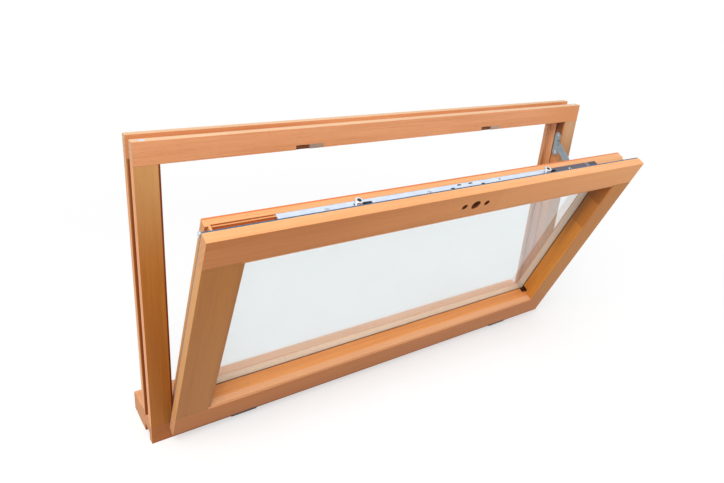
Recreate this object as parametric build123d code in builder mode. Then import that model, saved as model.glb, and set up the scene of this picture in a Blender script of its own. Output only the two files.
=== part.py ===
from build123d import *
import os

os.makedirs("parts", exist_ok=True)

# Frame sizes. X runs along the width, Y points outdoors and Z up.
# The origin is on the underside of the sill, below the outdoor face of the frame, at mid width.
frame_width = 840.0
frame_height = 470.0
frame_depth = 42.0
jamb_face = 33.0
head_face = 31.5
sill_face = 31.0

# Groove that runs round the outside of the frame, and the strip in front of it
strip_depth = 12.0
outer_groove_width = 19.0
outer_groove_depth = 8.0

# Steps inside the frame opening
stop_depth = 7.0
stop_height = 8.5
head_stop_height = 12.0
hardware_recess_start = 4.0
hardware_recess_width = 17.0
hardware_recess_depth = 4.0

# Sill nosing outdoors
nose_reach = 50.0
nose_height = 34.0
nose_fall = 1.0
nose_round = 2.5
sill_groove_width = 22.0
sill_groove_depth = 14.0
drip_width = 5.0
drip_depth = 4.0
drip_from_edge = 8.0

# Sash sizes
lap = 8.25
lip_thickness = 15.0
sash_thickness = 49.5
seal_gap = 1.0
side_air = 3.5
top_air = 5.0
stile_face = 51.5
top_rail_face = 48.0
bottom_rail_face = 51.5
back_edge_round = 2.0
side_back_round = 2.5
arris = 0.8
side_arris = 1.2

# Hinge and photographed tilt of the sash
tilt = 22.5
hinge_out = 9.0
hinge_drop = 8.75
knuckle_radius = 3.5
knuckle_length = 42.0
knuckle_gap = 0.5
hinge_from_side = 139.0
hinge_pin_radius = 1.75
pin_clearance = 0.05
leaf_thickness = 3.0
frame_leaf_height = 11.0
sash_leaf_thickness = 2.0

# Glazing
bead_front_set = 1.0
bead_back = 30.0
bead_height = 4.0
bead_slope_length = 9.0
bead_rise = 4.0
side_bead_rise = 1.0
glass_seal = 1.0
seal_show = 0.8
pane = 4.0
glass_rebate = 12.0
glass_edge_clearance = 2.0

# Hardware groove round the sash
groove_centre = 29.0
groove_width = 12.0
groove_depth = 9.0
side_groove_depth = 4.0
faceplate_width = 16.0
faceplate_thickness = 2.5
faceplate_from_end = 82.5
lock_offset = 3.0
top_groove_wall = 3.0
plate_fit = 0.2

# Handle holes and lock box
handle_drop = 24.5
lug_spacing = 43.0
lug_hole_radius = 5.25
lug_hole_depth = 16.0
spindle_hole_radius = 8.25
spindle_square = 7.0
lock_box_length = 70.0
lock_box_height = 18.0
lock_box_fit = 0.5

# Cams, their slots and the strikers
cam_from_plate_end = 121.0
cam_pin_radius = 3.0
cam_head_radius = 5.0
cam_height = 9.0
cam_head_height = 4.0
cam_slot_length = 28.0
cam_slot_width = 7.0
striker_pocket_length = 44.0
striker_pocket_height = 6.5
striker_pocket_depth = 19.0
striker_length = 22.0
striker_wall = 2.0

# Stay on the right jamb
stay_plate_width = 14.0
stay_plate_height = 47.0
stay_plate_thickness = 4.0
stay_plate_drop = 24.5
stay_pivot_drop = 47.0
stay_pivot_depth = 8.5
stay_arm_width = 14.0
stay_arm_thickness = 2.0
stay_pin_drop = 133.0
stay_rivet_radius = 3.0
stay_head_radius = 4.5
stay_air = 0.25
stay_guide_length = 106.0
stay_guide_width = 11.6
stay_guide_depth = 3.6
stay_slot_width = 6.4
stay_slot_length = 78.0

# Small zinc pieces
stud_drop = 21.5
stud_from_front = 32.8
stud_radius = 2.2
stud_head_radius = 3.5
stud_head_thickness = 2.5
stud_reach = 7.0
fastener_radius = 5.0
fastener_inset = 13.5
fastener_depth = 6.0
fastener_sink = 0.2

# Seal on the back of the sash lip
seal_inset = 0.5
seal_width = 4.0
seal_thickness = 2.5

# Faces and centres that follow from the sizes above
half_width = frame_width / 2
room = -frame_depth
reveal = half_width - jamb_face
opening_top = frame_height - head_face
lip_half = reveal + lap
body_half = reveal - side_air
lip_height = opening_top - sill_face + 2 * lap
body_bottom = lap + top_air
body_top = lip_height - body_bottom
sight_half = lip_half - stile_face
sight_top = lip_height - top_rail_face
sight_bottom = bottom_rail_face
glass_front = bead_back + glass_seal
glass_back = glass_front + pane
glass_half = sight_half + glass_rebate - glass_edge_clearance
glass_bottom = sight_bottom - glass_rebate + glass_edge_clearance
glass_top = sight_top + glass_rebate - glass_edge_clearance
glass_height = glass_top - glass_bottom
glass_middle = (glass_top + glass_bottom) / 2

# Placing of the sash: its own frame has the lip's lower front edge as origin,
# Y through its thickness and Z up its height, and it is turned about the hinge.
# Its rails and stiles are made upright in that frame and then placed.
hinge_y = room - hinge_out
hinge_z = sill_face - lap - hinge_drop
hinge_in_lip = lip_thickness + seal_gap - hinge_out
sash_pose = Pos(0, hinge_y, hinge_z) * Rot(X=tilt) * Pos(0, -hinge_in_lip, hinge_drop)

# Head: one board over the full width
groove_front = room + strip_depth
groove_back = groove_front + outer_groove_width
recess_front = room + hardware_recess_start
recess_back = recess_front + hardware_recess_width
head_outline = [
    (room, opening_top),
    (recess_front, opening_top),
    (recess_front, opening_top + hardware_recess_depth),
    (recess_back, opening_top + hardware_recess_depth),
    (recess_back, opening_top),
    (-stop_depth, opening_top),
    (-stop_depth, opening_top - head_stop_height),
    (0, opening_top - head_stop_height),
    (0, frame_height),
    (groove_back, frame_height),
    (groove_back, frame_height - outer_groove_depth),
    (groove_front, frame_height - outer_groove_depth),
    (groove_front, frame_height),
    (room, frame_height),
]
faceplate_length = 2 * (body_half - faceplate_from_end)
cam_run = faceplate_length / 2 - cam_from_plate_end
striker_centres = (lock_offset - cam_run, lock_offset + cam_run)
pocket_top = opening_top + striker_pocket_height
fastener_y = room + strip_depth / 2
fastener_x = half_width - fastener_inset

with BuildPart() as frame_head:
    with BuildSketch(Plane.YZ) as head_profile:
        Polygon(*head_outline, align=None)
        fillet(head_profile.vertices().group_by(Axis.X)[0].sort_by(Axis.Y)[-1], arris)
    extrude(amount=half_width, both=True)
    with Locations((half_width, (groove_front + groove_back) / 2, frame_height),
                   (-half_width, (groove_front + groove_back) / 2, frame_height)):
        Box(2 * outer_groove_depth, outer_groove_width, 3 * head_face, mode=Mode.SUBTRACT)
    with Locations(*[(x, room, pocket_top) for x in striker_centres]):
        Box(striker_pocket_length, 2 * striker_pocket_depth, 2 * striker_pocket_height,
            align=(Align.CENTER, Align.CENTER, Align.MAX), mode=Mode.SUBTRACT)
    with Locations((fastener_x, fastener_y, frame_height), (-fastener_x, fastener_y, frame_height)):
        Cylinder(fastener_radius, fastener_sink + fastener_depth,
                 align=(Align.CENTER, Align.CENTER, Align.MAX), mode=Mode.SUBTRACT)
frame_head.part.label = "frame_head"
export_step(frame_head.part, "parts/frame_head.step")

# Sill: the bottom rail of the frame with its nosing in one board
sill_groove_back = groove_front + sill_groove_width
drip_back = nose_reach - drip_from_edge
sill_outline = [
    (room, 0),
    (groove_front, 0),
    (groove_front, sill_groove_depth),
    (sill_groove_back, sill_groove_depth),
    (sill_groove_back, 0),
    (drip_back - drip_width, 0),
    (drip_back - drip_width, drip_depth),
    (drip_back, drip_depth),
    (drip_back, 0),
    (nose_reach, 0),
    (nose_reach, nose_height - nose_fall),
    (0, nose_height),
    (0, sill_face + stop_height),
    (-stop_depth, sill_face + stop_height),
    (-stop_depth, sill_face),
    (room, sill_face),
]

with BuildPart() as frame_sill:
    with BuildSketch(Plane.YZ) as sill_profile:
        Polygon(*sill_outline, align=None)
        fillet(sill_profile.vertices().group_by(Axis.X)[-1].sort_by(Axis.Y)[-1], nose_round)
        fillet(sill_profile.vertices().group_by(Axis.X)[0].sort_by(Axis.Y)[0], arris)
    extrude(amount=half_width, both=True)
frame_sill.part.label = "frame_sill"
export_step(frame_sill.part, "parts/frame_sill.step")

# Jambs: coped onto the head and the sill
jamb_outline = [
    (half_width, room),
    (half_width, groove_front),
    (half_width - outer_groove_depth, groove_front),
    (half_width - outer_groove_depth, groove_back),
    (half_width, groove_back),
    (half_width, 0),
    (reveal - stop_height, 0),
    (reveal - stop_height, -stop_depth),
    (reveal, -stop_depth),
    (reveal, recess_back),
    (reveal + hardware_recess_depth, recess_back),
    (reveal + hardware_recess_depth, recess_front),
    (reveal, recess_front),
    (reveal, room),
]
jamb_top = opening_top + hardware_recess_depth

with BuildPart() as frame_jamb_right:
    with BuildSketch(Plane.XY.offset(sill_face)) as jamb_profile:
        Polygon(*jamb_outline, align=None)
        fillet(jamb_profile.vertices().group_by(Axis.Y)[0], arris)
    extrude(amount=jamb_top - sill_face)
    add(frame_head.part, mode=Mode.SUBTRACT)
    add(frame_sill.part, mode=Mode.SUBTRACT)
frame_jamb_right.part.label = "frame_jamb_right"
export_step(frame_jamb_right.part, "parts/frame_jamb_right.step")

with BuildPart() as frame_jamb_left:
    add(mirror(frame_jamb_right.part, Plane.YZ))
frame_jamb_left.part.label = "frame_jamb_left"
export_step(frame_jamb_left.part, "parts/frame_jamb_left.step")

# Strikers: bent zinc plates in the right half of each head pocket
for name, x in zip(("left", "right"), striker_centres):
    with BuildPart() as striker:
        with Locations((x + striker_pocket_length / 2, room, pocket_top)):
            Box(striker_length, striker_pocket_depth, striker_wall,
                align=(Align.MAX, Align.MIN, Align.MAX))
            Box(striker_length, striker_wall, striker_pocket_height,
                align=(Align.MAX, Align.MIN, Align.MAX))
    striker.part.label = "striker_" + name
    export_step(striker.part, "parts/striker_" + name + ".step")

# Round zinc fasteners sunk in the top of the head
for name, x in zip(("left", "right"), (-fastener_x, fastener_x)):
    with BuildPart() as head_fastener:
        with Locations((x, fastener_y, frame_height - fastener_sink)):
            Cylinder(fastener_radius - pin_clearance, fastener_depth,
                     align=(Align.CENTER, Align.CENTER, Align.MAX))
    head_fastener.part.label = "head_fastener_" + name
    export_step(head_fastener.part, "parts/head_fastener_" + name + ".step")

# Sash rails: full width boards, in the frame of the sash
body_back = sash_thickness
seat_bottom = sight_bottom - bead_height
seat_top = sight_top + bead_height
rebate_bottom = sight_bottom - glass_rebate
rebate_top = sight_top + glass_rebate
bottom_rail_outline = [
    (0, 0),
    (lip_thickness, 0),
    (lip_thickness, body_bottom),
    (body_back, body_bottom),
    (body_back, sight_bottom),
    (glass_back, sight_bottom),
    (glass_back, rebate_bottom),
    (bead_back, rebate_bottom),
    (bead_back, seat_bottom),
    (0, seat_bottom),
]
top_rail_outline = [
    (0, lip_height),
    (lip_thickness, lip_height),
    (lip_thickness, body_top),
    (body_back, body_top),
    (body_back, sight_top),
    (glass_back, sight_top),
    (glass_back, rebate_top),
    (bead_back, rebate_top),
    (bead_back, seat_top),
    (0, seat_top),
]
groove_floor = body_half - side_groove_depth
groove_near = groove_centre - groove_width / 2
groove_far = groove_centre + groove_width / 2

# Plan of the whole sash, with the hardware groove in its sides: both rails are trimmed to it
plan_right = [
    (lip_half, 0),
    (lip_half, lip_thickness),
    (body_half, lip_thickness),
    (body_half, groove_near),
    (groove_floor, groove_near),
    (groove_floor, groove_far),
    (body_half, groove_far),
    (body_half, body_back),
]
plan_left = [(-x, y) for x, y in reversed(plan_right)]
with BuildSketch() as sash_plan:
    Polygon(*plan_right, *plan_left, align=None)
    fillet(sash_plan.vertices().group_by(Axis.Y)[0], side_arris)
    fillet(sash_plan.vertices().group_by(Axis.Y)[-1], side_back_round)

with BuildPart() as bottom_rail_upright:
    with BuildSketch(Plane.YZ) as bottom_rail_profile:
        Polygon(*bottom_rail_outline, align=None)
        fillet(bottom_rail_profile.vertices().group_by(Axis.X)[0].sort_by(Axis.Y)[0], arris)
        fillet(bottom_rail_profile.vertices().group_by(Axis.X)[-1].sort_by(Axis.Y)[0], back_edge_round)
    extrude(amount=half_width, both=True)
    extrude(sash_plan.sketch, amount=2 * lip_height, both=True, mode=Mode.INTERSECT)
with BuildPart() as sash_bottom_rail:
    add(sash_pose * bottom_rail_upright.part)
sash_bottom_rail.part.label = "sash_bottom_rail"
export_step(sash_bottom_rail.part, "parts/sash_bottom_rail.step")

handle_height = lip_height - handle_drop
plate_end = lock_offset + faceplate_length / 2
groove_start = top_groove_wall - groove_floor
groove_run = plate_end - groove_start
groove_middle = (plate_end + groove_start) / 2
lock_box_top = body_top - faceplate_thickness

with BuildPart() as top_rail_upright:
    with BuildSketch(Plane.YZ) as top_rail_profile:
        Polygon(*top_rail_outline, align=None)
        fillet(top_rail_profile.vertices().group_by(Axis.X)[0].sort_by(Axis.Y)[-1], arris)
        fillet(top_rail_profile.vertices().group_by(Axis.X)[-1].sort_by(Axis.Y)[-1], back_edge_round)
    extrude(amount=half_width, both=True)
    extrude(sash_plan.sketch, amount=2 * lip_height, both=True, mode=Mode.INTERSECT)
    with Locations((groove_middle, groove_centre, body_top)):
        Box(groove_run, groove_width, 2 * groove_depth, mode=Mode.SUBTRACT)
        Box(groove_run, faceplate_width, 2 * faceplate_thickness, mode=Mode.SUBTRACT)
    with Locations((lock_offset, groove_centre, body_top)):
        Box(lock_box_length, groove_width, 2 * (faceplate_thickness + lock_box_height),
            mode=Mode.SUBTRACT)
    with Locations(Pos(lock_offset, 0, handle_height) * Rot(X=-90)):
        Cylinder(spindle_hole_radius, groove_centre,
                 align=(Align.CENTER, Align.CENTER, Align.MIN), mode=Mode.SUBTRACT)
    with Locations(*[Pos(lock_offset + x, 0, handle_height) * Rot(X=-90)
                     for x in (-lug_spacing / 2, lug_spacing / 2)]):
        Cylinder(lug_hole_radius, lug_hole_depth,
                 align=(Align.CENTER, Align.CENTER, Align.MIN), mode=Mode.SUBTRACT)
with BuildPart() as sash_top_rail:
    add(sash_pose * top_rail_upright.part)
sash_top_rail.part.label = "sash_top_rail"
export_step(sash_top_rail.part, "parts/sash_top_rail.step")

# Sash stiles: coped between the rails
stile_outline = [
    *plan_right,
    (sight_half, body_back),
    (sight_half, glass_back),
    (sight_half + glass_rebate, glass_back),
    (sight_half + glass_rebate, bead_back),
    (sight_half + bead_height, bead_back),
    (sight_half + bead_height, 0),
]

with BuildPart() as stile_upright:
    with BuildSketch(Plane.XY.offset(rebate_bottom)) as stile_profile:
        Polygon(*stile_outline, align=None)
        fillet(stile_profile.vertices().group_by(Axis.X)[-1].sort_by(Axis.Y)[0], side_arris)
        fillet(stile_profile.vertices().group_by(Axis.Y)[-1].sort_by(Axis.X)[-1], side_back_round)
    extrude(amount=rebate_top - rebate_bottom)
    add(top_rail_upright.part, mode=Mode.SUBTRACT)
    add(bottom_rail_upright.part, mode=Mode.SUBTRACT)
with BuildPart() as sash_stile_right:
    add(sash_pose * stile_upright.part)
sash_stile_right.part.label = "sash_stile_right"
export_step(sash_stile_right.part, "parts/sash_stile_right.step")

with BuildPart() as sash_stile_left:
    add(mirror(sash_stile_right.part, Plane.YZ))
sash_stile_left.part.label = "sash_stile_left"
export_step(sash_stile_left.part, "parts/sash_stile_left.step")

# Glazing beads: the top and bottom ones run through, the side ones stand between them
def bead_outline(rise):
    return [
        (bead_front_set, -bead_height),
        (bead_front_set, 0),
        (bead_front_set + bead_slope_length, rise),
        (bead_back, rise),
        (bead_back, -bead_height),
    ]


bead_half = sight_half + bead_height

with BuildPart() as bead_bottom:
    with BuildSketch(Plane(sash_pose * Pos(0, 0, sight_bottom) * Plane.YZ.location)):
        Polygon(*bead_outline(bead_rise), align=None)
    extrude(amount=bead_half, both=True)
bead_bottom.part.label = "bead_bottom"
export_step(bead_bottom.part, "parts/bead_bottom.step")

with BuildPart() as bead_top:
    with BuildSketch(Plane(sash_pose * Pos(0, 0, sight_top) * Plane.YZ.location)):
        Polygon(*[(y, -z) for y, z in bead_outline(bead_rise)], align=None)
    extrude(amount=bead_half, both=True)
bead_top.part.label = "bead_top"
export_step(bead_top.part, "parts/bead_top.step")

with BuildPart() as bead_right:
    with BuildSketch(Plane(sash_pose * Pos(sight_half, 0, seat_bottom))):
        Polygon(*[(-z, y) for y, z in bead_outline(side_bead_rise)], align=None)
    extrude(amount=seat_top - seat_bottom)
    add(bead_top.part, mode=Mode.SUBTRACT)
    add(bead_bottom.part, mode=Mode.SUBTRACT)
bead_right.part.label = "bead_right"
export_step(bead_right.part, "parts/bead_right.step")

with BuildPart() as bead_left:
    add(mirror(bead_right.part, Plane.YZ))
bead_left.part.label = "bead_left"
export_step(bead_left.part, "parts/bead_left.step")

# Glass, and its seal against the beads
with BuildPart() as glass_pane:
    with Locations(sash_pose * Pos(0, glass_front + pane / 2, glass_middle)):
        Box(2 * glass_half, pane, glass_height)
glass_pane.part.label = "glass_pane"
export_step(glass_pane.part, "parts/glass_pane.step")

seal_half = sight_half - side_bead_rise - seal_show
seal_low = sight_bottom + bead_rise + seal_show
seal_high = sight_top - bead_rise - seal_show
with BuildPart() as glazing_seal:
    with Locations(sash_pose * Pos(0, bead_back + glass_seal / 2, glass_middle)):
        Box(2 * glass_half, glass_seal, glass_height)
    with Locations(sash_pose * Pos(0, bead_back + glass_seal / 2, (seal_low + seal_high) / 2)):
        Box(2 * seal_half, glass_seal, seal_high - seal_low, mode=Mode.SUBTRACT)
glazing_seal.part.label = "glazing_seal"
export_step(glazing_seal.part, "parts/glazing_seal.step")

# Rubber seal on the back of the lip
with BuildPart() as sash_seal:
    with Locations(sash_pose * Pos(0, lip_thickness, lip_height / 2)):
        Box(2 * (lip_half - seal_inset), seal_thickness, lip_height - 2 * seal_inset,
            align=(Align.CENTER, Align.MIN, Align.CENTER))
        Box(2 * (lip_half - seal_inset - seal_width), seal_thickness,
            lip_height - 2 * (seal_inset + seal_width),
            align=(Align.CENTER, Align.MIN, Align.CENTER), mode=Mode.SUBTRACT)
sash_seal.part.label = "sash_seal"
export_step(sash_seal.part, "parts/sash_seal.step")

# Lock: faceplate in the top groove, lock box behind the handle holes and two cams
cam_shift = (striker_pocket_length - striker_length) / 2
cam_centres = [x - cam_shift for x in striker_centres]
slot_shift = (cam_slot_length - cam_slot_width) / 2
with BuildPart() as lock_faceplate:
    with Locations(sash_pose * Pos(lock_offset, groove_centre, body_top - faceplate_thickness)):
        Box(faceplate_length - 2 * plate_fit, faceplate_width - 2 * plate_fit, faceplate_thickness,
            align=(Align.CENTER, Align.CENTER, Align.MIN))
    with Locations(*[sash_pose * Pos(x + slot_shift, groove_centre, body_top) for x in cam_centres]):
        Box(cam_slot_length, cam_slot_width, 4 * faceplate_thickness, mode=Mode.SUBTRACT)
lock_faceplate.part.label = "lock_faceplate"
export_step(lock_faceplate.part, "parts/lock_faceplate.step")

with BuildPart() as lock_box:
    with Locations(sash_pose * Pos(lock_offset, groove_centre, lock_box_top)):
        Box(lock_box_length - 2 * lock_box_fit, groove_width - 2 * lock_box_fit,
            lock_box_height - lock_box_fit, align=(Align.CENTER, Align.CENTER, Align.MAX))
    with Locations(sash_pose * Pos(lock_offset, groove_centre, handle_height)):
        Box(spindle_square, 2 * groove_width, spindle_square, mode=Mode.SUBTRACT)
lock_box.part.label = "lock_box"
export_step(lock_box.part, "parts/lock_box.step")

slider_top = body_top - faceplate_thickness
slider_height = groove_depth - faceplate_thickness - plate_fit
for name, x in zip(("left", "right"), cam_centres):
    with BuildPart() as locking_cam:
        with Locations(sash_pose * Pos(x, groove_centre, slider_top)):
            Box(2 * cam_slot_length, groove_width - 2 * lock_box_fit, slider_height,
                align=(Align.CENTER, Align.CENTER, Align.MAX))
            Cylinder(cam_pin_radius, faceplate_thickness + cam_height,
                     align=(Align.CENTER, Align.CENTER, Align.MIN))
        with Locations(sash_pose * Pos(x, groove_centre, body_top + cam_height)):
            Cylinder(cam_head_radius, cam_head_height,
                     align=(Align.CENTER, Align.CENTER, Align.MAX))
    locking_cam.part.label = "locking_cam_" + name
    export_step(locking_cam.part, "parts/locking_cam_" + name + ".step")

# Hinges under the lip: a frame leaf with two knuckles, a sash leaf with one, and a pin
knuckle_third = knuckle_length / 3
for name, x in zip(("left", "right"), (hinge_from_side - half_width, half_width - hinge_from_side)):
    with BuildPart() as frame_leaf:
        with Locations((x, room, hinge_z)):
            Box(knuckle_length, leaf_thickness, frame_leaf_height,
                align=(Align.CENTER, Align.MAX, Align.CENTER))
        with Locations((x - knuckle_third, hinge_y, hinge_z), (x + knuckle_third, hinge_y, hinge_z)):
            Cylinder(knuckle_radius, knuckle_third - knuckle_gap, rotation=(0, 90, 0))
        with Locations((x - knuckle_third, room, hinge_z - knuckle_radius),
                       (x + knuckle_third, room, hinge_z - knuckle_radius)):
            Box(knuckle_third - knuckle_gap, hinge_out, leaf_thickness,
                align=(Align.CENTER, Align.MAX, Align.MIN))
        with Locations((x, hinge_y, hinge_z)):
            Cylinder(hinge_pin_radius + pin_clearance, 2 * knuckle_length, rotation=(0, 90, 0),
                     mode=Mode.SUBTRACT)
    frame_leaf.part.label = "hinge_frame_leaf_" + name
    export_step(frame_leaf.part, "parts/hinge_frame_leaf_" + name + ".step")

    with BuildPart() as sash_leaf:
        with Locations(sash_pose * Pos(x, 0, 0)):
            Box(knuckle_length, lip_thickness, sash_leaf_thickness,
                align=(Align.CENTER, Align.MIN, Align.MAX))
        with Locations(sash_pose * Pos(x, hinge_in_lip, -hinge_drop)):
            Cylinder(knuckle_radius, knuckle_third - knuckle_gap, rotation=(0, 90, 0))
            Box(knuckle_third - knuckle_gap, knuckle_radius, hinge_drop,
                align=(Align.CENTER, Align.CENTER, Align.MIN))
            Cylinder(hinge_pin_radius + pin_clearance, 2 * knuckle_length, rotation=(0, 90, 0),
                     mode=Mode.SUBTRACT)
    sash_leaf.part.label = "hinge_sash_leaf_" + name
    export_step(sash_leaf.part, "parts/hinge_sash_leaf_" + name + ".step")

    with BuildPart() as hinge_pin:
        with Locations((x, hinge_y, hinge_z)):
            Cylinder(hinge_pin_radius, knuckle_length + 2 * knuckle_gap, rotation=(0, 90, 0))
    hinge_pin.part.label = "hinge_pin_" + name
    export_step(hinge_pin.part, "parts/hinge_pin_" + name + ".step")

# Stay: a plate in the jamb recess, a flat arm, and a slotted guide in the sash groove
recess_floor = reveal + hardware_recess_depth
plate_inner = recess_floor - stay_plate_thickness
arm_outer = plate_inner - stay_air
arm_inner = arm_outer - stay_arm_thickness
pivot_y = room + stay_pivot_depth
stay_plate_top = opening_top - stay_plate_drop
stay_pivot_height = opening_top - stay_pivot_drop
stay_pin_height = lip_height - stay_pin_drop
pin_point = (sash_pose * Pos(0, groove_centre, stay_pin_height)).position
pivot_point = Vector(0, pivot_y, stay_pivot_height)
stay_run = pin_point - pivot_point
stay_length = stay_run.length
arm_plane = Plane(origin=(arm_inner, pivot_y, stay_pivot_height), x_dir=stay_run, z_dir=(1, 0, 0))
plate_bottom = stay_plate_top - stay_plate_height
plate_y = room + hardware_recess_start + stay_plate_width / 2 + plate_fit
plate_middle = (stay_plate_top + plate_bottom) / 2

with BuildPart() as stay_plate:
    with BuildSketch(Plane(origin=(plate_inner, plate_y, plate_middle), x_dir=(0, 0, 1), z_dir=(1, 0, 0))):
        SlotOverall(stay_plate_height, stay_plate_width)
    extrude(amount=stay_plate_thickness)
    with Locations((plate_inner, pivot_y, stay_pivot_height)):
        Cylinder(stay_rivet_radius + pin_clearance, 4 * stay_plate_thickness, rotation=(0, 90, 0),
                 mode=Mode.SUBTRACT)
stay_plate.part.label = "stay_plate"
export_step(stay_plate.part, "parts/stay_plate.step")

with BuildPart() as stay_arm:
    with BuildSketch(arm_plane) as arm_profile:
        with Locations((stay_length / 2, 0)):
            SlotCenterToCenter(stay_length, stay_arm_width)
        with Locations((0, 0), (stay_length, 0)):
            Circle(stay_rivet_radius + pin_clearance, mode=Mode.SUBTRACT)
    extrude(amount=stay_arm_thickness)
stay_arm.part.label = "stay_arm"
export_step(stay_arm.part, "parts/stay_arm.step")

head_thickness = arm_inner - body_half - stay_air
with BuildPart() as stay_rivet:
    with Locations((recess_floor, pivot_y, stay_pivot_height)):
        Cylinder(stay_rivet_radius, recess_floor - arm_inner, rotation=(0, -90, 0),
                 align=(Align.CENTER, Align.CENTER, Align.MIN))
    with Locations((arm_inner, pivot_y, stay_pivot_height)):
        Cylinder(stay_head_radius, head_thickness, rotation=(0, -90, 0),
                 align=(Align.CENTER, Align.CENTER, Align.MIN))
stay_rivet.part.label = "stay_rivet"
export_step(stay_rivet.part, "parts/stay_rivet.step")

guide_outer = body_half - plate_fit
guide_inner = guide_outer - stay_guide_depth
guide_centre = stay_pin_height + stay_slot_width / 2 - stay_slot_length / 2
with BuildPart() as stay_guide:
    with Locations(sash_pose * Pos(guide_outer, groove_centre, guide_centre)):
        Box(stay_guide_depth, stay_guide_width, stay_guide_length,
            align=(Align.MAX, Align.CENTER, Align.CENTER))
        Box(2 * stay_guide_depth, stay_slot_width, stay_slot_length, mode=Mode.SUBTRACT)
stay_guide.part.label = "stay_guide"
export_step(stay_guide.part, "parts/stay_guide.step")

with BuildPart() as stay_pin:
    with Locations((guide_inner, pin_point.Y, pin_point.Z)):
        Cylinder(stay_rivet_radius, arm_outer + stay_air - guide_inner, rotation=(0, 90, 0),
                 align=(Align.CENTER, Align.CENTER, Align.MIN))
stay_pin.part.label = "stay_pin"
export_step(stay_pin.part, "parts/stay_pin.step")

# Zinc stud on the left side of the sash
stud_height = lip_height - stud_drop
with BuildPart() as side_stud:
    with Locations(sash_pose * Pos(-groove_floor, stud_from_front, stud_height) * Rot(Y=-90)):
        Cylinder(stud_radius, side_groove_depth + stud_reach,
                 align=(Align.CENTER, Align.CENTER, Align.MIN))
    with Locations(sash_pose * Pos(-body_half - stud_reach, stud_from_front, stud_height) * Rot(Y=90)):
        Cylinder(stud_head_radius, stud_head_thickness,
                 align=(Align.CENTER, Align.CENTER, Align.MIN))
side_stud.part.label = "side_stud"
export_step(side_stud.part, "parts/side_stud.step")
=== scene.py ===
import math

import bmesh
import bpy
from mathutils import Matrix, Vector


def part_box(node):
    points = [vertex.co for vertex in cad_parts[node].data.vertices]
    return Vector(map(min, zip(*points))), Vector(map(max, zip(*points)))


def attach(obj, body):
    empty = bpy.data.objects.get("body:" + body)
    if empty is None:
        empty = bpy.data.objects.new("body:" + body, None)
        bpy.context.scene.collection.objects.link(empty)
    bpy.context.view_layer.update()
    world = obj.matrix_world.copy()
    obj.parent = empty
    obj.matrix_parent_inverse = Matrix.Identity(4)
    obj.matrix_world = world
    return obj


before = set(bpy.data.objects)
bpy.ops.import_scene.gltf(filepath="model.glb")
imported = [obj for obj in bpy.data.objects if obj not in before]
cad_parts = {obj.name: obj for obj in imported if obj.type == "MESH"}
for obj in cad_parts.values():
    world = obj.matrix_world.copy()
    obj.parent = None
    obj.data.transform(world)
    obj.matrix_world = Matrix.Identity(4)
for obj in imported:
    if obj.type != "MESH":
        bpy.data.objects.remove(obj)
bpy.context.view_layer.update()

# Sizes repeated from the part's source, in metres and radians. The sash has its own frame:
# u across, w through its thickness from the room face, v up from the lip's lower edge.
TILT = math.radians(22.5)
HINGE = Vector((0, -0.051, 0.014))
HINGE_W = 0.007
HINGE_V = -0.00875
BODY_TOP = 0.41075
SIGHT_BOTTOM = 0.0515
SIGHT_TOP = 0.376
LOCK_GROOVE_W = 0.029
OPENING_TOP = 0.4385
SILL_FACE = 0.031

# The axes of a box or a vector. On the sash they stand for u, w and v.
X, Y, Z = 0, 1, 2

# The colour sockets of Blender's Mix node, which share their names with others: two go in, one comes out
MIX_A, MIX_B, MIX_RESULT = 6, 7, 2

sash_pose = (Matrix.Translation(HINGE) @ Matrix.Rotation(TILT, 4, "X")
             @ Matrix.Translation((0, -HINGE_W, -HINGE_V)))
up_on_sash = sash_pose.to_3x3() @ Vector((0, 0, 1))


def on_sash(u, w, v):
    """A point of the sash's own frame, in the window's frame."""
    return sash_pose @ Vector((u, w, v))


def srgb(code):
    """A hex colour as linear RGBA."""
    parts = [int(code[i:i + 2], 16) / 255 for i in (0, 2, 4)]
    return tuple(c / 12.92 if c <= 0.04045 else ((c + 0.055) / 1.055) ** 2.4 for c in parts) + (1,)


# Shader nodes

def new_material(name):
    """An empty material with a Principled BSDF on its output: the material, its node tree and the shader."""
    material = bpy.data.materials.new(name)
    material.use_nodes = True
    tree = material.node_tree
    tree.nodes.clear()
    output = tree.nodes.new("ShaderNodeOutputMaterial")
    shader = tree.nodes.new("ShaderNodeBsdfPrincipled")
    tree.links.new(shader.outputs["BSDF"], output.inputs["Surface"])
    return material, tree, shader


def feed(tree, socket, value):
    """Links a socket to another's output, or sets its value."""
    if isinstance(value, bpy.types.NodeSocket):
        tree.links.new(value, socket)
    else:
        socket.default_value = value


def math_node(tree, operation, *values):
    node = tree.nodes.new("ShaderNodeMath")
    node.operation = operation
    for i, value in enumerate(values):
        feed(tree, node.inputs[i], value)
    return node.outputs[0]


def plus(tree, a, b):
    return math_node(tree, "ADD", a, b)


def times(tree, a, b):
    return math_node(tree, "MULTIPLY", a, b)


def vector_node(tree, operation, *values):
    """A vector operation that gives a number."""
    node = tree.nodes.new("ShaderNodeVectorMath")
    node.operation = operation
    for i, value in enumerate(values):
        feed(tree, node.inputs[i], value)
    return node.outputs["Value"]


def mapping(tree, vector, scale=(1, 1, 1), rotation=(0, 0, 0), location=(0, 0, 0), kind="POINT"):
    node = tree.nodes.new("ShaderNodeMapping")
    node.vector_type = kind
    feed(tree, node.inputs["Vector"], vector)
    node.inputs["Scale"].default_value = scale
    node.inputs["Rotation"].default_value = rotation
    if kind == "POINT":
        node.inputs["Location"].default_value = location
    return node.outputs[0]


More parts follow.
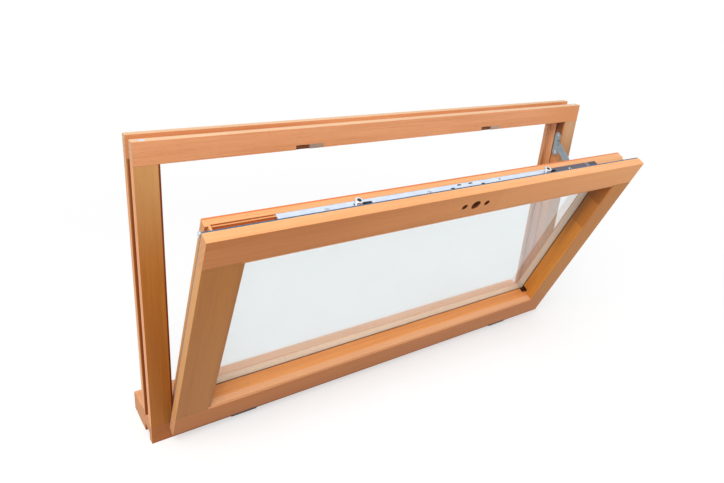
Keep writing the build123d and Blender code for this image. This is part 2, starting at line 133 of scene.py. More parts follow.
def noise(tree, vector, scale=1.0, stretch=None, detail=2.0, roughness=0.5, distortion=0.0):
    """Noise of one scale all round, or stretched by a scale for each axis."""
    node = tree.nodes.new("ShaderNodeTexNoise")
    feed(tree, node.inputs["Vector"], mapping(tree, vector, scale=stretch) if stretch else vector)
    node.inputs["Scale"].default_value = scale
    node.inputs["Detail"].default_value = detail
    node.inputs["Roughness"].default_value = roughness
    node.inputs["Distortion"].default_value = distortion
    return node.outputs["Fac"]


def spread(tree, value, low, high, to_low=0.0, to_high=1.0):
    """Maps low..high smoothly to to_low..to_high, clamped."""
    node = tree.nodes.new("ShaderNodeMapRange")
    node.interpolation_type = "SMOOTHSTEP"
    feed(tree, node.inputs["Value"], value)
    for name, v in (("From Min", low), ("From Max", high), ("To Min", to_low), ("To Max", to_high)):
        node.inputs[name].default_value = v
    return node.outputs[0]


def mix(tree, factor, a, b):
    """Mixes two colours."""
    node = tree.nodes.new("ShaderNodeMix")
    node.data_type = "RGBA"
    node.clamp_factor = True
    feed(tree, node.inputs["Factor"], factor)
    feed(tree, node.inputs[MIX_A], a)
    feed(tree, node.inputs[MIX_B], b)
    return node.outputs[MIX_RESULT]


def mix_shaders(tree, factor, a, b, output):
    """Puts a mix of two shaders on the output's surface."""
    node = tree.nodes.new("ShaderNodeMixShader")
    for socket, value in zip(node.inputs, (factor, a, b)):
        feed(tree, socket, value)
    tree.links.new(node.outputs[0], output.inputs["Surface"])


def bevel_normal(tree, radius, samples):
    """The surface's normal with its edges rounded off."""
    node = tree.nodes.new("ShaderNodeBevel")
    node.samples = samples
    node.inputs["Radius"].default_value = radius
    return node.outputs["Normal"]


def bump(tree, shader, height, strength, distance, normal=None):
    node = tree.nodes.new("ShaderNodeBump")
    feed(tree, node.inputs["Height"], height)
    node.inputs["Strength"].default_value = strength
    node.inputs["Distance"].default_value = distance
    if normal is not None:
        tree.links.new(normal, node.inputs["Normal"])
    tree.links.new(node.outputs["Normal"], shader.inputs["Normal"])


def object_coordinates(tree):
    return tree.nodes.new("ShaderNodeTexCoord").outputs["Object"]


def flat_normal(tree):
    return tree.nodes.new("ShaderNodeNewGeometry").outputs["True Normal"]


def upright(tree, tilt):
    """Object coordinates and the surface's normal, stood upright: for the tilted sash they are u, w and v."""
    shift = (0, 0, 0)
    if tilt:
        hinge = Matrix.Rotation(-tilt, 3, "X") @ HINGE
        shift = (0, HINGE_W - hinge.y, HINGE_V - hinge.z)
    point = mapping(tree, object_coordinates(tree), rotation=(-tilt, 0, 0), location=shift)
    normal = mapping(tree, flat_normal(tree), rotation=(-tilt, 0, 0), kind="VECTOR")
    return point, normal


def parts_of(tree, vector):
    """A vector's three numbers."""
    node = tree.nodes.new("ShaderNodeSeparateXYZ")
    feed(tree, node.inputs[0], vector)
    return node.outputs


# Half the width of a crisp border, in metres
CRISP = 0.0002


def inside(tree, place, box):
    """1 inside a box given as bands on some of the three axes. A band is its two ends and, where its border
    isn't crisp, half the width of that border."""
    mask = 1.0
    for axis, (low, high, *border) in box.items():
        half = border[0] if border else CRISP
        for edge, sign in ((low, 1), (high, -1)):
            outward = times(tree, place[axis], sign)
            side = spread(tree, outward, edge * sign - half, edge * sign + half)
            mask = times(tree, side, mask)
    return mask


def repaint(tree, tone, place, patches):
    """Lays other tones over parts of a surface, each given as a box, a colour and how strongly it covers."""
    for box, colour, cover in patches:
        tone = mix(tree, times(tree, inside(tree, place, box), cover), tone, colour)
    return tone


def seen_directly(tree):
    """1 for rays from the camera, from reflections and through glass, which see the plain background."""
    rays = tree.nodes.new("ShaderNodeLightPath").outputs
    mirrored = math_node(tree, "MAXIMUM", rays["Is Glossy Ray"], rays["Is Transmission Ray"])
    return math_node(tree, "MAXIMUM", rays["Is Camera Ray"], mirrored)


# Wood

# A face looks fully along an axis from the second share of its normal on, and not at all below the first
FACING = (0.6, 0.8)
# Painted shade for the edges that turn away from the light
EDGE_SHADE = srgb("9C4A10")
PORE_DARK = srgb("7A4420")
CLOUD_TONE = srgb("B8622E")
END_SPECK = srgb("8A4E26")
JOINT_SHADOW = srgb("5A2A0E")
SHADED_SIDE = (0.62, 0.52, -0.55)


def room_side_shading(tree, looks_out, along, tones, front, fade):
    """The board's tones with a darker pair laid over the faces that look into the room: painted shade, as
    these faces get less light than the tops and sides. fade is a tone that this pair takes on between two
    places along the grain."""
    front_colour, front_deep = front
    if fade:
        other, start, stop = fade
        faded = spread(tree, along, start, stop)
        front_colour = mix(tree, faded, front_colour, other)
        front_deep = mix(tree, times(tree, faded, 0.7), front_deep, other)
    room_side = spread(tree, times(tree, looks_out, -1), *FACING)
    colour, deep = tones
    return mix(tree, room_side, colour, front_colour), mix(tree, room_side, deep, front_deep)


def end_grain(tree, board, colour, deep):
    """Growth rings cut across, with open pores."""
    ring = tree.nodes.new("ShaderNodeTexWave")
    ring.wave_type = "RINGS"
    ring.rings_direction = "X"
    for name, value in (("Scale", 45), ("Distortion", 0.6), ("Detail", 2), ("Detail Scale", 1.2)):
        ring.inputs[name].default_value = value
    feed(tree, ring.inputs["Vector"], mapping(tree, board, scale=(0.05, 1, 1), location=(0, 0.09, 0.06)))
    speck = noise(tree, board, stretch=(200, 1500, 1500), detail=1)
    tone = mix(tree, spread(tree, ring.outputs["Fac"], 0.1, 0.9, 0.2, 0.5), deep, colour)
    return mix(tree, spread(tree, speck, 0.62, 0.7, 0.0, 0.3), tone, END_SPECK)


def shaded_edges(tree, tone):
    """Painted shade: edges that turn away from the light are painted darker."""
    soft = bevel_normal(tree, 0.0016, 6)
    turned = vector_node(tree, "DOT_PRODUCT", soft, flat_normal(tree))
    away = vector_node(tree, "DOT_PRODUCT", soft, SHADED_SIDE)
    edge = times(tree, spread(tree, turned, 0.8, 0.97, 0.75, 0.0), spread(tree, away, -0.2, 0.05))
    return mix(tree, edge, tone, EDGE_SHADE)


def wood(name, colour, deep, grain, seed, tilt=0.0, front=None, fade=None, end=None, patches=(), joints=()):
    """Planed, clear finished timber with its grain on X or Z. front gives darker tones to the faces that look
    into the room, as painted shade, and fade the tone that these take on between two places along the grain.
    end is the tone of the board's ends, and joints are the places along the grain where it meets another
    board."""
    material, tree, shader = new_material(name)
    point, normal = upright(tree, tilt)
    place, looks = parts_of(tree, point), parts_of(tree, normal)
    along, looks_along = place[grain], looks[grain]
    board = mapping(tree, point, rotation=(0, math.radians(90) if grain == Z else 0, 0), location=seed)
    # Painted shade: the faces that look into the room take the darker front pair
    if front:
        colour, deep = room_side_shading(tree, looks[Y], along, (colour, deep), front, fade)

    # Long figure, then streaks, fibres and pores, each finer than the last. The scales are per metre,
    # along the grain and twice across it.
    figure = noise(tree, board, stretch=(1.8, 34, 34), detail=3, roughness=0.55, distortion=0.5)
    streak = noise(tree, board, stretch=(6, 240, 240), detail=3, roughness=0.6)
    fibre = noise(tree, board, stretch=(24, 1000, 1000), detail=2, roughness=0.6)
    pores = spread(tree, noise(tree, board, stretch=(110, 2300, 2300), detail=1), 0.64, 0.74)
    cloud = noise(tree, board, stretch=(4, 8, 8), detail=2, roughness=0.5)
    fine = plus(tree, times(tree, streak, 0.35), times(tree, fibre, 0.25))
    shade = plus(tree, times(tree, figure, 0.4), fine)
    tone = mix(tree, spread(tree, shade, 0.32, 0.66), deep, colour)

    end_face = spread(tree, math_node(tree, "ABSOLUTE", looks_along), *FACING)
    tone = mix(tree, end_face, tone, end_grain(tree, board, end or colour, deep))
    tone = repaint(tree, tone, place, patches)
    tone = mix(tree, spread(tree, cloud, 0.45, 0.8, 0.0, 0.14), tone, CLOUD_TONE)
    tone = mix(tree, times(tree, pores, 0.25), tone, PORE_DARK)
    tone = shaded_edges(tree, tone)

    # A hairline of shadow where this board butts against another
    for joint in joints:
        gap = math_node(tree, "ABSOLUTE", math_node(tree, "SUBTRACT", along, joint))
        tone = mix(tree, spread(tree, gap, 0.0001, 0.0006, 0.3, 0.0), tone, JOINT_SHADOW)

    feed(tree, shader.inputs["Base Color"], tone)
    rough = plus(tree, times(tree, streak, 0.18), 0.36)
    feed(tree, shader.inputs["Roughness"], plus(tree, rough, times(tree, end_face, 0.15)))
    shader.inputs["Coat Weight"].default_value = 0.05
    shader.inputs["Coat Roughness"].default_value = 0.3
    shader.inputs["Specular IOR Level"].default_value = 0.22
    relief = math_node(tree, "SUBTRACT", plus(tree, times(tree, fibre, 0.5), streak), pores)
    bump(tree, shader, relief, 0.2, 0.0002)
    return material


# Metal, rubber and glass

def zinc(name, colour, rough, cloudy=0.25, patches=()):
    """Bright zinc plate: cool, faintly cloudy, with fine rolling marks."""
    material, tree, shader = new_material(name)
    coordinates, _ = upright(tree, TILT)
    cloud = noise(tree, coordinates, stretch=(60, 90, 90), detail=3, roughness=0.6)
    marks = noise(tree, coordinates, stretch=(25, 1600, 1600), detail=2)
    spots = noise(tree, coordinates, stretch=(900, 900, 900), detail=1)
    tone = mix(tree, spread(tree, cloud, 0.3, 0.75, 0.0, cloudy), colour, srgb("9DB2CF"))
    tone = mix(tree, spread(tree, spots, 0.68, 0.8, 0.0, 0.3), tone, srgb("E9EDF2"))
    tone = repaint(tree, tone, parts_of(tree, coordinates), patches)
    feed(tree, shader.inputs["Base Color"], tone)
    shader.inputs["Metallic"].default_value = 0.75
    feed(tree, shader.inputs["Roughness"], plus(tree, times(tree, marks, 0.2), rough))
    bump(tree, shader, marks, 0.2, 0.00005, bevel_normal(tree, 0.0003, 4))
    return material


def dull_finish(name, colour, tint, rough, mottling, clear=0.0):
    """A dull finish with fine mottling: rubber, stove enamel and the painted shade in recesses."""
    material, tree, shader = new_material(name)
    coordinates = object_coordinates(tree)
    mottle = noise(tree, coordinates, scale=mottling, detail=3, roughness=0.6)
    fine = noise(tree, coordinates, scale=mottling * 9, detail=2)
    feed(tree, shader.inputs["Base Color"], mix(tree, spread(tree, mottle, 0.3, 0.7), colour, tint))
    feed(tree, shader.inputs["Roughness"], plus(tree, times(tree, fine, 0.15), rough))
    shader.inputs["Coat Weight"].default_value = clear
    bump(tree, shader, fine, 0.2, 0.0001)
    return material


def glass(name):
    """Float glass with a faint smear and a thin white veil. Lamps shine through it without noise."""
    material, tree, shader = new_material(name)
    smear = noise(tree, object_coordinates(tree), stretch=(9, 5, 5), detail=4, roughness=0.65)
    smeared = spread(tree, smear, 0.35, 0.7)
    feed(tree, shader.inputs["Base Color"], mix(tree, smeared, srgb("F0F5F6"), srgb("EEF3F4")))
    feed(tree, shader.inputs["Roughness"], spread(tree, smear, 0.4, 0.8, 0.0, 0.004))
    shader.inputs["Transmission Weight"].default_value = 0.87
    shader.inputs["IOR"].default_value = 1.5
    clear = tree.nodes.new("ShaderNodeBsdfTransparent")
    clear.inputs["Color"].default_value = (0.9, 0.93, 0.93, 1)
    shadow_ray = tree.nodes.new("ShaderNodeLightPath").outputs["Is Shadow Ray"]
    output = tree.nodes["Material Output"]
    mix_shaders(tree, shadow_ray, shader.outputs["BSDF"], clear.outputs["BSDF"], output)
    return material


# Tones of the boards, each as its colour and its deeper tone

RAIL = dict(colour=srgb("EBC29C"), deep=srgb("D8A777"))
SILL = dict(colour=srgb("EBAE82"), deep=srgb("D8945F"))
# The left jamb's tones are lighter than the right jamb's: painted light on the left jamb's sides, which face
# the light
JAMB_LEFT = dict(colour=srgb("F8B076"), deep=srgb("E8965C"))
JAMB_RIGHT = dict(colour=srgb("D9925F"), deep=srgb("C47C48"))
SASH = dict(colour=srgb("EBAE7B"), deep=srgb("D99963"))
STILE = dict(colour=srgb("E5A45F"), deep=srgb("D49350"))
BEAD = dict(colour=srgb("E09658"), deep=srgb("CE8046"))
BEAD_RIGHT = dict(colour=srgb("E2933E"), deep=srgb("CC7C30"))

# Tones of the patches

BEAD_EDGE = srgb("D89F75")
# Painted reflection: the glass's pale sheen laid on the wood that shows through it
GLASS_REFLECTION_TONE = srgb("F8DABE")
GROOVE = srgb("8E4420")
DEEP_SHADE = srgb("5C2A10")
REVEAL_SHADE = srgb("6E2206")
DARK_GAP = srgb("180804")

# Patches of the frame, in metres. A striker's left end is at the middle of its pocket.
OUTER_GROOVE = (-0.0305, -0.0105)
HEAD_GROOVE = {Y: (-0.0297, -0.0113), Z: (0.455, 0.4699)}
HEAD_PATCHES = [
    ({Y: (-0.0004, 0.001), Z: (0.42, 0.4694)}, srgb("E89C68"), 0.85),
    # The head's top groove: darker at the left, and at the right painted paler, as painted light in the
    # groove's shade
    ({X: (-0.5, -0.13, 0.06), **HEAD_GROOVE}, srgb("C98558"), 0.55),
    ({X: (-0.13, 0.5, 0.06), **HEAD_GROOVE}, srgb("F8DCBE"), 0.85),
]
# Painted shade in each striker's pocket, and a soft painted shadow on the stop beside it
for side, shade_start, shade_end in (("left", -0.184, -0.158), ("right", 0.191, 0.218)):
    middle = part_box("striker_" + side)[0].x
    pocket = {X: (middle - 0.022, middle + 0.022), Y: (-0.0418, -0.0228), Z: (0.4384, 0.4452)}
    stop = {X: (shade_start, shade_end, 0.003), Y: (-0.0073, -0.0067), Z: (0.4262, 0.4386)}
    HEAD_PATCHES += [(pocket, DEEP_SHADE, 0.9), (stop, DEEP_SHADE, 0.75)]
# Painted reflection: the nosing's top, which shows through the glass, is painted paler
NOSING_TOP = {X: (-0.37, 0.5, 0.03), Y: (0.001, 0.06), Z: (0.03, 0.036)}
# Painted shade on the left jamb's reveal edge, which faces away from the light
REVEAL_EDGE_LEFT = {X: (-0.3897, -0.386), Y: (-0.043, -0.0395)}
# Painted light on the right jamb's reveal, which lies in the head's shadow
REVEAL_RIGHT = {X: (0.378, 0.3878), Y: (-0.0212, 0.001), Z: (0.37, 0.5, 0.05)}
# Painted shade in the right jamb's recess
RECESS_RIGHT = {X: (0.3885, 0.3915), Y: (-0.0385, -0.0206), Z: (0.41, 0.45, 0.012)}

# Patches of the sash, in u, w and v. BEHIND_GLASS is the wood that shows through the glass.
BEHIND_GLASS = (0.0302, 0.0475)
BEAD_RIM = {Y: (0, 0.0099)}
# The handle holes are painted dark: painted shade inside them
HANDLE_HOLES = {X: (-0.026, 0.032), Y: (0.0012, 0.03), Z: (0.391, 0.4085)}
# Painted light on the right part of the top rail's room face
TOP_RAIL_RIGHT = {X: (0.05, 0.4), Y: (-0.001, 0.0005)}
# Painted shade on the top rail's rounded back edge
TOP_RAIL_BACK_EDGE = {Y: (0.0458, 0.051), Z: (0.4085, 0.412)}
GAP_BOTTOM_BEAD = {X: (0.334, 0.35), Y: (0.02, 0.031)}
GAP_RIGHT_BEAD = {Y: (0.018, 0.031), Z: (0.05, 0.062)}
# Painted shade on the right bead next to the glass, in its upper part
BEAD_BY_GLASS = {Y: (0.018, 0.032, 0.004), Z: (0.22, 0.4, 0.06)}

BOARDS = {
    "frame_head": dict(
        **RAIL, grain=X, seed=(0.3, 0.1, 0.7), patches=HEAD_PATCHES,
        front=(srgb("DD9B6E"), srgb("CC8657")), fade=(srgb("CB874E"), 0.22, 0.46)),
    "frame_sill": dict(
        **SILL, grain=X, seed=(1.9, 0.5, 0.2), patches=[(NOSING_TOP, srgb("FFCFA8"), 0.6)],
        front=(srgb("AC6A38"), srgb("9A582A")), end=srgb("DB9860")),
    # Painted light: the room face grows lighter towards the top
    "frame_jamb_left": dict(
        **JAMB_LEFT, grain=Z, seed=(0.4, 2.3, 0.9), joints=(OPENING_TOP, SILL_FACE),
        front=(srgb("B16F2C"), srgb("9F5F24")), fade=(srgb("CB965F"), 0.27, 0.44),
        patches=[({X: (-0.4185, -0.395), Y: OUTER_GROOVE}, GROOVE, 0.8), (REVEAL_EDGE_LEFT, REVEAL_SHADE, 0.95)]),
    # Painted light: the room face grows lighter towards the top
    "frame_jamb_right": dict(
        **JAMB_RIGHT, grain=Z, seed=(3.1, 0.8, 1.7), joints=(OPENING_TOP, SILL_FACE),
        front=(srgb("AE7C4C"), srgb("946438")), fade=(srgb("C5966B"), 0.36, 0.43),
        patches=[({X: (0.395, 0.4185), Y: OUTER_GROOVE}, GROOVE, 0.8),
                 (REVEAL_RIGHT, srgb("FBC094"), 0.7), (RECESS_RIGHT, srgb("7A4628"), 0.75)]),
    # Painted light: the room face grows lighter towards the right
    "sash_top_rail": dict(
        **SASH, grain=X, seed=(5.2, 1.4, 0.4), tilt=TILT,
        front=(srgb("CC824A"), srgb("BA703A")), fade=(srgb("E29A59"), -0.36, 0.36),
        patches=[(HANDLE_HOLES, DEEP_SHADE, 0.85), (TOP_RAIL_RIGHT, srgb("E6A066"), 0.2),
                 (TOP_RAIL_BACK_EDGE, srgb("D0682C"), 0.8)]),
    "sash_bottom_rail": dict(
        **SASH, grain=X, seed=(2.6, 3.7, 1.1), tilt=TILT, patches=[({Y: BEHIND_GLASS}, GLASS_REFLECTION_TONE, 0.75)],
        front=(srgb("C07638"), srgb("B0662C")), fade=(srgb("B76A26"), 0.2, 0.42)),
    "sash_stile_left": dict(
        **STILE, grain=Z, seed=(1.3, 4.4, 2.2), tilt=TILT, joints=(SIGHT_BOTTOM, SIGHT_TOP),
        front=(srgb("B67534"), srgb("A56528")),
        patches=[({X: (-0.36, -0.33), Y: BEHIND_GLASS}, GLASS_REFLECTION_TONE, 0.75)]),
    "sash_stile_right": dict(
        **STILE, grain=Z, seed=(4.7, 2.9, 3.3), tilt=TILT, joints=(SIGHT_BOTTOM, SIGHT_TOP),
        front=(srgb("BB7720"), srgb("A86518")),
        patches=[({X: (0.33, 0.36), Y: BEHIND_GLASS}, GLASS_REFLECTION_TONE, 0.92)]),
    "bead_top": dict(**BEAD, grain=X, seed=(6.1, 0.3, 2.5), tilt=TILT),
    "bead_bottom": dict(
        **BEAD, grain=X, seed=(7.4, 1.2, 0.6), tilt=TILT,
        patches=[(BEAD_RIM, BEAD_EDGE, 0.8), (GAP_BOTTOM_BEAD, DARK_GAP, 0.97)]),
    "bead_left": dict(
        **BEAD, grain=Z, seed=(0.9, 5.6, 1.9), tilt=TILT, patches=[(BEAD_RIM, srgb("A96E36"), 0.9)]),
    "bead_right": dict(
        **BEAD_RIGHT, grain=Z, seed=(8.2, 3.5, 0.1), tilt=TILT,
        # Painted shadow under the top rail: the right bead darker towards its top
        patches=[({Z: (0.27, 0.4)}, srgb("A8622C"), 0.5), ({Z: (0.33, 0.4)}, srgb("8E4E22"), 0.5),
                 (GAP_RIGHT_BEAD, DARK_GAP, 0.97), (BEAD_BY_GLASS, srgb("8A5A34"), 0.55)]),
}

# The faceplate's right end is painted dark, with a paler band: painted shade and dark reflection on it. A cam
# is painted dark below its head: painted shade where it sinks into the faceplate
PLATE_ZINC = zinc("plate_zinc", srgb("DFEAFA"), 0.22, patches=[
    ({X: (0.188, 0.4)}, srgb("5F5A64"), 0.98),
    ({X: (0.276, 0.284)}, srgb("8E8A96"), 0.7),
    ({X: (0.284, 0.4)}, srgb("4A4550"), 0.8)])
CAM_ZINC = zinc("cam_zinc", srgb("DDE3EA"), 0.2, 0.1, patches=[
    ({Z: (0, BODY_TOP - 0.0015)}, srgb("26221F"), 1.0)])
STAY_ZINC = zinc("stay_zinc", srgb("92999B"), 0.3, 0.3)
# The strikers' brownish tone is a painted reflection of the wood around them
STRIKER_ZINC = zinc("striker_zinc", srgb("AC9480"), 0.3, 0.1)
SMALL_ZINC = zinc("small_zinc", srgb("DDE3EA"), 0.2, 0.1)
SEAL_RUBBER = dull_finish("seal_rubber", srgb("30475F"), srgb("4E6983"), 0.4, 300, clear=0.15)
GLAZING_RUBBER = dull_finish("glazing_rubber", srgb("4A2416"), srgb("5A2E1C"), 0.5, 300)
ENAMEL = dull_finish("hinge_enamel", srgb("120E0B"), srgb("1B1510"), 0.45, 500)
# Painted shade for the insides of recesses and holes
RECESS_SHADE = dull_finish("recess_shade", srgb("1A1512"), srgb("2A221C"), 0.6, 900)
PANE = glass("pane_glass")

# The finish of a node that is no board, by the first words of its name
FITTINGS = {
    "glass_pane": PANE, "glazing_seal": GLAZING_RUBBER, "sash_seal": SEAL_RUBBER, "hinge_": ENAMEL,
    "striker_": STRIKER_ZINC, "stay_": STAY_ZINC, "lock_box": STAY_ZINC, "lock_faceplate": PLATE_ZINC,
    "locking_cam": CAM_ZINC, "side_stud": SMALL_ZINC, "head_fastener": SMALL_ZINC,
}
for name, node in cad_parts.items():
    if name in BOARDS:
        finish = wood("wood_" + name, **BOARDS[name])
    else:
        finish = next(FITTINGS[start] for start in FITTINGS if name.startswith(start))
    node.data.materials.clear()
    node.data.materials.append(finish)


# Small hardware. The screw heads and long holes have painted shade in their recesses.

IN_RECESS = 1


def add_piece(name, bm, slot, *finishes):
    """Puts a bmesh in the scene as a piece of the window."""
    mesh = bpy.data.meshes.new(name)
    bm.to_mesh(mesh)
    bm.free()
    piece = bpy.data.objects.new(name, mesh)
    bpy.context.scene.collection.objects.link(piece)
    for finish in finishes:
        mesh.materials.append(finish)
    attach(piece, "root")


def facing(point, direction, spin=0.0):
    """A matrix that puts +Z along direction at a point."""
    turn = Vector(direction).normalized().to_track_quat("Z", "Y").to_matrix().to_4x4()
    return Matrix.Translation(point) @ turn @ Matrix.Rotation(spin, 4, "Z")


def on_circle(radius, k, spokes):
    """X and Y of step k on a circle."""
    angle = 2 * math.pi * k / spokes
    return radius * math.cos(angle), radius * math.sin(angle)


def bridge(bm, first, second):
    """Joins two closed rows of vertices with faces."""
    nexts = zip(first[1:] + first[:1], second[1:] + second[:1])
    return [bm.faces.new((a, a_next, b_next, b)) for a, b, (a_next, b_next) in zip(first, second, nexts)]


def screw_head(name, point, direction, radius, crown, spin):
    """A countersunk screw's head with a cross recess, as a fine polar height field with a ring of shadow."""
    rings, spokes = 12, 48
    arm, reach, deep = radius * 0.17, radius * 0.6, radius * 0.4
    shadow_ring, shadow_height = radius * 1.12, 0.00002
    place = facing(point, direction, spin)

    def in_cross(r, x, y):
        return r < reach and min(abs(x), abs(y)) < arm

    bm = bmesh.new()
    rows = []
    for i in range(1, rings + 1):
        r = radius * i / rings
        row = []
        for k in range(spokes):
            x, y = on_circle(r, k, spokes)
            z = crown * (1 - (i / rings) ** 2)
            if in_cross(r, x, y):
                z -= deep * (1 - r / reach * 0.5)
            row.append(bm.verts.new(place @ Vector((x, y, z))))
        rows.append(row)
    rows.append([bm.verts.new(place @ Vector((*on_circle(shadow_ring, k, spokes), shadow_height)))
                 for k in range(spokes)])
    middle = bm.verts.new(place @ Vector((0, 0, crown - deep)))
    for vertex, neighbour in zip(rows[0], rows[0][1:] + rows[0][:1]):
        bm.faces.new((middle, vertex, neighbour)).material_index = IN_RECESS
    for i, (inner, outer) in enumerate(zip(rows, rows[1:])):
        r = radius * (i + 1.5) / rings
        for k, face in enumerate(bridge(bm, outer, inner)):
            if r > radius or in_cross(r, *on_circle(r, k + 0.5, spokes)):
                face.material_index = IN_RECESS
    add_piece(name, bm, "zinc_metal", SMALL_ZINC, RECESS_SHADE)


def lathe(name, profile, place, finish, slot):
    """Turns a profile of radius and height about its axis."""
    spokes = 40
    bm = bmesh.new()
    rows = [[bm.verts.new(place @ Vector((*on_circle(r, k, spokes), z))) for k in range(spokes)]
            for r, z in profile]
    for inner, outer in zip(rows, rows[1:]):
        for face in bridge(bm, inner, outer):
            face.smooth = True
    add_piece(name, bm, slot, finish)


def long_hole(name, point, direction, length):
    """A long hole in the faceplate, shown as a floor of painted shade inside a raised burr."""
    width, steps = 0.0026, 12
    burr = ((0.00035, 0.0), (0.00025, 0.00012), (0.0, 0.00012), (-0.0001, 0.00003))
    place = facing(point, direction)
    bm = bmesh.new()
    rows = []
    for grow, z in burr:
        row = []
        for side in (1, -1):
            for k in range(steps + 1):
                angle = -math.pi / 2 + math.pi * k / steps
                x = side * ((length - width) / 2 + (width / 2 + grow) * math.cos(angle))
                y = side * (width / 2 + grow) * math.sin(angle)
                row.append(bm.verts.new(place @ Vector((x, y, z))))
        rows.append(row)
    for outer, inner in zip(rows, rows[1:]):
        bridge(bm, outer, inner)
    bm.faces.new(rows[-1]).material_index = IN_RECESS
    add_piece(name, bm, "zinc_metal", SMALL_ZINC, RECESS_SHADE)


# Faceplate: its screws at three places along it, the slots over the lock box as u, w and length, and a hole
PLATE_SCREWS = (-0.231, -0.068, 0.232)
GEAR_SLOTS = ((-0.0256, 0.0295, 0.0075), (-0.0105, 0.0342, 0.008), (0.0115, 0.0342, 0.008),
              (0.0332, 0.0295, 0.0075))
for i, u in enumerate(PLATE_SCREWS):
    place = on_sash(u, LOCK_GROOVE_W, BODY_TOP)
    screw_head(f"plate_screw_{i + 1}", place, up_on_sash, 0.0032, 0.0008, 0.3 + i)
for i, (u, w, length) in enumerate(GEAR_SLOTS):
    long_hole(f"gear_slot_{i + 1}", on_sash(u, w, BODY_TOP), up_on_sash, length)
long_hole("plate_hole", on_sash(0.070, 0.0325, BODY_TOP), up_on_sash, 0.0032)

# Cam rollers: a ring with a hollow middle on each cam's head, as radius and height above it
CAM_HEIGHT = 0.009
CAM_RING = [(0.0053, -0.0040), (0.0056, -0.0036), (0.0056, -0.0004), (0.0052, 0.0002),
            (0.0036, 0.0002), (0.0030, -0.0001), (0.0028, -0.0001)]
CAM_SOCKET = [(0.0030, 0.00005), (0.0024, 0.00004), (0.0001, 0.00003)]
for side, u in (("left", -0.187), ("right", 0.171)):
    place = facing(on_sash(u, LOCK_GROOVE_W, BODY_TOP + CAM_HEIGHT), up_on_sash)
    lathe("cam_ring_" + side, CAM_RING, place, SMALL_ZINC, "zinc_metal")
    # The socket in the hollow middle is painted shade
    lathe("cam_socket_" + side, CAM_SOCKET, place, RECESS_SHADE, "zinc_metal")

# Barrels over the hinges' knuckles, with a small round at each end
BARREL_RADIUS, BARREL_ROUND, BARREL_BORE = 0.0050, 0.0004, 0.0036
for side in ("left", "right"):
    low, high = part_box("hinge_frame_leaf_" + side)
    length = high.x - low.x
    profile = [(BARREL_BORE, 0.0), (BARREL_RADIUS - BARREL_ROUND, 0.0), (BARREL_RADIUS, BARREL_ROUND),
               (BARREL_RADIUS, length - BARREL_ROUND), (BARREL_RADIUS - BARREL_ROUND, length),
               (BARREL_BORE, length)]
    lathe("hinge_barrel_" + side, profile, facing((low.x, HINGE.y, HINGE.z), (1, 0, 0)), ENAMEL, "dark_metal")

# Screws of the stay plate on the right jamb and of the strikers
low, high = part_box("stay_plate")
PLATE_MIDDLE = (low.y + high.y) / 2
for i, z in enumerate((high.z - 0.0055, low.z + 0.0065)):
    screw_head(f"stay_screw_{i + 1}", (low.x, PLATE_MIDDLE, z), (-1, 0, 0), 0.0030, 0.0006, 0.5 + i)
for side, x in (("left", -0.165), ("right", 0.193)):
    screw_head("striker_screw_" + side, (x, -0.031, 0.443), (0, 0, -1), 0.0030, 0.0005, 0.8)


# Camera, floor and light. The camera was solved from the photo: pixels, metres and radians.

PHOTO_WIDTH, PHOTO_HEIGHT = 724, 483
FOCAL_LENGTH = 623.983
PICTURE_CENTRE = (403.836, 216.750)
CAMERA_PLACE = (-0.600445, -0.806157, 0.716071)
YAW, PITCH, ROLL = -0.673809, 0.403201, -0.112265
SENSOR_WIDTH = 36


def add_camera():
    data = bpy.data.cameras.new("camera")
    camera = bpy.data.objects.new("camera", data)
    bpy.context.scene.collection.objects.link(camera)
    bpy.context.scene.camera = camera
    turn = Matrix.Rotation(YAW, 3, "Z") @ Matrix.Rotation(-PITCH, 3, "X") @ Matrix.Rotation(ROLL, 3, "Y")
    right, forward, up = turn.col
    axes = Matrix((right, up, -forward)).transposed().to_4x4()
    camera.matrix_world = Matrix.Translation(CAMERA_PLACE) @ axes
    data.sensor_width = SENSOR_WIDTH
    data.lens = SENSOR_WIDTH * FOCAL_LENGTH / PHOTO_WIDTH
    data.shift_x = (PHOTO_WIDTH / 2 - PICTURE_CENTRE[0]) / PHOTO_WIDTH
    data.shift_y = (PICTURE_CENTRE[1] - PHOTO_HEIGHT / 2) / PHOTO_WIDTH
    data.clip_start = 0.01


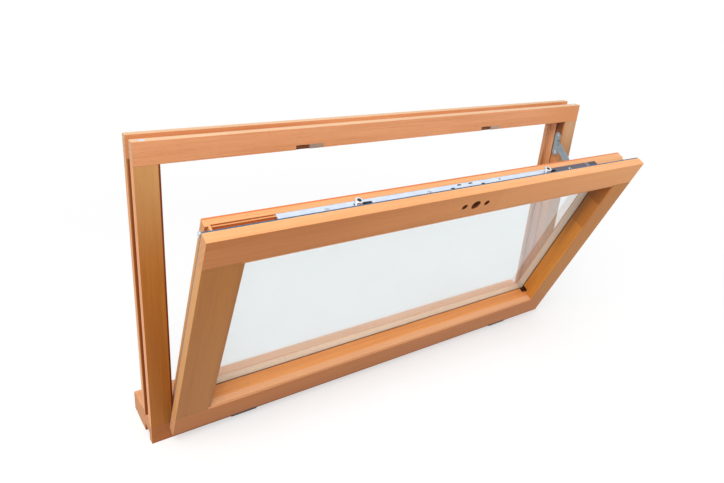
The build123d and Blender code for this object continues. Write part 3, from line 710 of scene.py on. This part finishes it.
def floor_paper():
    """White paper that keeps the object's shadow near it and is plain white far away."""
    material, tree, shader = new_material("floor_paper")
    shader.inputs["Roughness"].default_value = 0.9
    shader.inputs["Specular IOR Level"].default_value = 0.1
    white = tree.nodes.new("ShaderNodeEmission")
    white.inputs["Color"].default_value = (1, 1, 1, 1)
    seen = seen_directly(tree)
    feed(tree, shader.inputs["Base Color"], mix(tree, seen, srgb("AEB0B2"), (0.98, 0.98, 0.98, 1)))
    far = vector_node(tree, "LENGTH", object_coordinates(tree))
    glow = times(tree, seen, spread(tree, far, 0.5, 1.2, 0.55, 1.0))
    mix_shaders(tree, glow, shader.outputs["BSDF"], white.outputs[0], tree.nodes["Material Output"])
    return material


def add_floor(half_width=40, drop=0.0004):
    mesh = bpy.data.meshes.new("floor")
    bm = bmesh.new()
    bmesh.ops.create_grid(bm, x_segments=8, y_segments=8, size=half_width)
    bm.to_mesh(mesh)
    bm.free()
    mesh.materials.append(floor_paper())
    floor = bpy.data.objects.new("floor", mesh)
    floor.location = (0, 0, -drop)
    bpy.context.scene.collection.objects.link(floor)


def add_world():
    """Soft light, brightest from above at the left front, and a plain white background."""
    world = bpy.data.worlds.new("studio")
    bpy.context.scene.world = world
    world.use_nodes = True
    tree = world.node_tree
    tree.nodes.clear()
    output = tree.nodes.new("ShaderNodeOutputWorld")
    soft = tree.nodes.new("ShaderNodeBackground")
    soft.inputs["Color"].default_value = (0.98, 0.99, 1.0, 1)
    direction = tree.nodes.new("ShaderNodeTexCoord").outputs["Generated"]
    towards = vector_node(tree, "DOT_PRODUCT", direction, (-0.5, -0.35, 0.79))
    feed(tree, soft.inputs["Strength"], spread(tree, towards, -1, 1, 0.15, 0.85))
    white = tree.nodes.new("ShaderNodeBackground")
    white.inputs["Color"].default_value = (1, 1, 1, 1)
    white.inputs["Strength"].default_value = 1.0
    mix_shaders(tree, seen_directly(tree), soft.outputs[0], white.outputs[0], output)


def add_lamp(name, place, aim, size, power, colour=(1, 1, 1)):
    """A large soft area lamp."""
    data = bpy.data.lights.new(name, "AREA")
    data.shape = "SQUARE"
    data.size = size
    data.energy = power
    data.color = colour
    lamp = bpy.data.objects.new(name, data)
    lamp.location = place
    lamp.rotation_euler = (Vector(aim) - Vector(place)).to_track_quat("-Z", "Y").to_euler()
    bpy.context.scene.collection.objects.link(lamp)


add_camera()
add_floor()
add_world()
add_lamp("key", (-1.1, -1.1, 2.0), (0, 0, 0.3), 1.2, 34, (1.0, 0.99, 0.97))
add_lamp("fill", (1.3, -1.5, 0.45), (0, -0.1, 0.25), 0.9, 9)

bpy.context.scene.view_settings.view_transform = "Standard"
